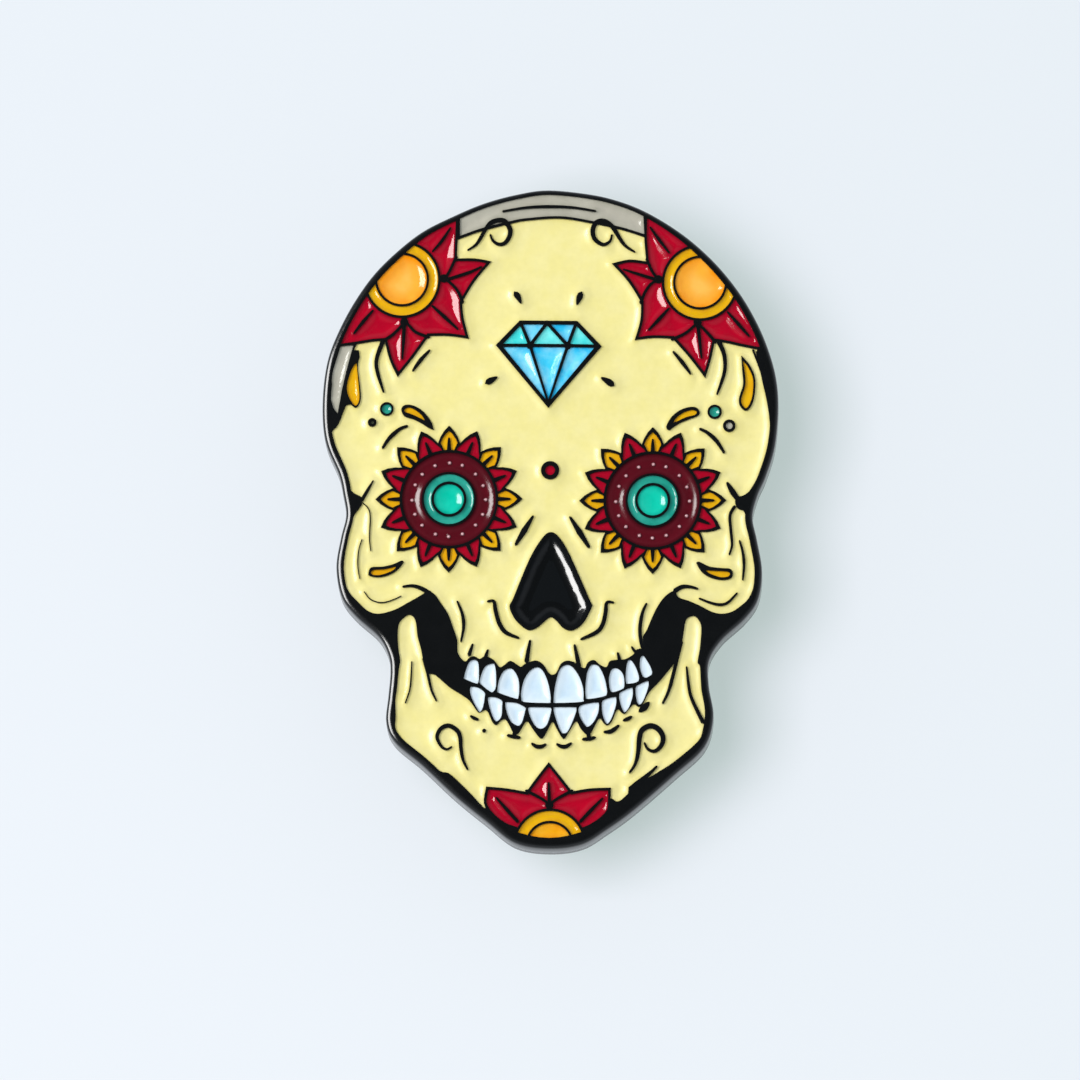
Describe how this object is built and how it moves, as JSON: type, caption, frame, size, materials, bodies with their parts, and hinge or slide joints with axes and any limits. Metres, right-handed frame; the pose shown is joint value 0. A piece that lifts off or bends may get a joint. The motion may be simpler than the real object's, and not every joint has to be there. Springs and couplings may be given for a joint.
{
  "type": "enamel pin",
  "caption": "Black-plated enamel pin with a calavera face, flower eyes, a cut gem on the brow, and two butterfly clutches on its back posts.",
  "frame": {"origin": "centre of the whole pin's box, from the raised lines of the face to the posts' tips", "axes": "+Z toward the crown of the head, -Y out of the face toward the viewer, +X to the viewer's right"},
  "size_m": [0.0306, 0.01, 0.0454],
  "materials": {
    "black_nickel": "black nickel plating, glossy",
    "bone_enamel": "cured soft enamel, glossy",
    "black_enamel": "cured soft enamel, glossy",
    "beige_enamel": "cured soft enamel, glossy",
    "white_enamel": "cured soft enamel, glossy",
    "aqua_enamel": "cured soft enamel, glossy",
    "blue_enamel": "cured soft enamel, glossy",
    "crimson_enamel": "cured soft enamel, glossy",
    "gold_enamel": "cured soft enamel, glossy",
    "orange_enamel": "cured soft enamel, glossy",
    "maroon_enamel": "cured soft enamel, glossy",
    "teal_enamel": "cured soft enamel, glossy",
    "green_enamel": "cured soft enamel, glossy",
    "clutch_nickel": "bright nickel plating",
    "post_steel": "drawn wire, nickel plated"
  },
  "bodies": {
    "badge": {"badge_plate": "black_nickel", "post_upper": "post_steel", "post_lower": "post_steel", "enamel_skull": "bone_enamel", "enamel_jaw": "bone_enamel", "enamel_nose": "black_enamel", "enamel_crown": "beige_enamel", "enamel_temple": "beige_enamel", "teeth_upper": "white_enamel", "teeth_lower": "white_enamel", "gem_crown": "aqua_enamel", "gem_pavilion": "blue_enamel", "dot_teal_left": "teal_enamel", "dot_dark_left": "black_enamel", "dot_teal_right": "teal_enamel", "dot_cream_right": "bone_enamel", "dot_red_centre": "crimson_enamel", "flower_left_petals": "crimson_enamel", "flower_left_ring": "gold_enamel", "flower_left_disc": "orange_enamel", "flower_right_petals": "crimson_enamel", "flower_right_ring": "gold_enamel", "flower_right_disc": "orange_enamel", "flower_chin_petals": "crimson_enamel", "flower_chin_ring": "gold_enamel", "flower_chin_disc": "orange_enamel", "eye_left_petals": "crimson_enamel", "eye_left_band": "maroon_enamel", "eye_left_ring": "teal_enamel", "eye_left_dome": "green_enamel", "leaf_temple_left": "gold_enamel", "leaf_brow_left": "gold_enamel", "leaf_cheek_left": "gold_enamel", "eye_right_petals": "crimson_enamel", "eye_right_band": "maroon_enamel", "eye_right_ring": "teal_enamel", "eye_right_dome": "green_enamel", "leaf_temple_right": "gold_enamel", "leaf_brow_right": "gold_enamel", "leaf_cheek_right": "gold_enamel"},
    "clutch_upper": {"clutch_upper_base": "clutch_nickel", "clutch_upper_shell": "clutch_nickel"},
    "clutch_upper_wing_left": {"clutch_upper_wing_left": "clutch_nickel"},
    "clutch_upper_wing_right": {"clutch_upper_wing_right": "clutch_nickel"},
    "clutch_lower": {"clutch_lower_base": "clutch_nickel", "clutch_lower_shell": "clutch_nickel"},
    "clutch_lower_wing_left": {"clutch_lower_wing_left": "clutch_nickel"},
    "clutch_lower_wing_right": {"clutch_lower_wing_right": "clutch_nickel"}
  },
  "joints": [
    {"name": "clutch_upper_slide", "type": "slide", "parent": "badge", "child": "clutch_upper", "axis": [0, 1, 0], "range_m": [0, 0.0095]},
    {"name": "clutch_upper_pinch_left", "type": "slide", "parent": "clutch_upper", "child": "clutch_upper_wing_left", "axis": [1, 0, 0], "range_m": [0, 0.0007], "stiffness_N_per_m": 15},
    {"name": "clutch_upper_pinch_right", "type": "slide", "parent": "clutch_upper", "child": "clutch_upper_wing_right", "axis": [-1, 0, 0], "range_m": [0, 0.0007], "stiffness_N_per_m": 15},
    {"name": "clutch_lower_slide", "type": "slide", "parent": "badge", "child": "clutch_lower", "axis": [0, 1, 0], "range_m": [0, 0.0095]},
    {"name": "clutch_lower_pinch_left", "type": "slide", "parent": "clutch_lower", "child": "clutch_lower_wing_left", "axis": [1, 0, 0], "range_m": [0, 0.0007], "stiffness_N_per_m": 15},
    {"name": "clutch_lower_pinch_right", "type": "slide", "parent": "clutch_lower", "child": "clutch_lower_wing_right", "axis": [-1, 0, 0], "range_m": [0, 0.0007], "stiffness_N_per_m": 15}
  ],
  "couplings": [
    {"joint": "clutch_upper_pinch_right", "follows": "clutch_upper_pinch_left", "ratio": 1},
    {"joint": "clutch_lower_pinch_right", "follows": "clutch_lower_pinch_left", "ratio": 1}
  ]
}
